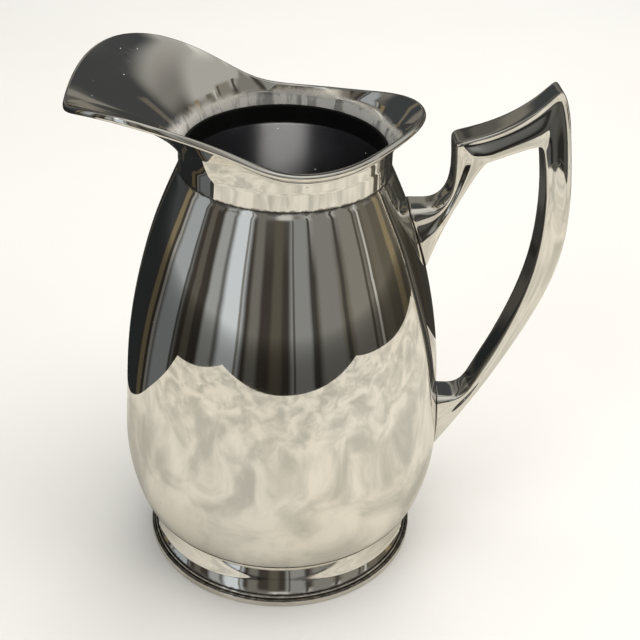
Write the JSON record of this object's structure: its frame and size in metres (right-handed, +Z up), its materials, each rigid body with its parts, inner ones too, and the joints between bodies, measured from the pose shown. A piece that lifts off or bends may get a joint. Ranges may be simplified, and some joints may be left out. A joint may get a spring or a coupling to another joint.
{
  "type": "water pitcher",
  "caption": "Polished silver water pitcher with a wide scoop spout, a turned foot, a hollow notched handle and a black inner vessel.",
  "frame": {"origin": "centre of the underside of the foot", "axes": "+Z up along the axis of the turned body, -X towards the spout, +X towards the handle, Y across"},
  "size_m": [0.2046, 0.1414, 0.2273],
  "materials": {
    "body_silver": "mirror polished silver plate, slightly warm",
    "neck_silver": "mirror polished silver plate with fine wear",
    "foot_silver": "mirror polished silver plate, dark in the grooves",
    "handle_silver": "polished silver plate, dark at the soldered seams",
    "base_silver": "dull, scuffed silver plate",
    "black_lining": "satin black",
    "black_seal": "satin black rubber",
    "cork": "pressed cork"
  },
  "bodies": {
    "root": {"body_shell": "body_silver", "neck_collar": "neck_silver", "rim_wire": "neck_silver", "rim_strip": "neck_silver", "foot_bead_ring": "foot_silver", "foot_band": "foot_silver", "foot_rim": "foot_silver", "base_plate": "base_silver", "lining_vessel": "black_lining", "lining_seal": "black_seal", "lining_pad": "cork", "handle_front_half": "handle_silver", "handle_back_half": "handle_silver", "upper_root_collar": "handle_silver", "lower_root_collar": "handle_silver"}
  },
  "joints": []
}
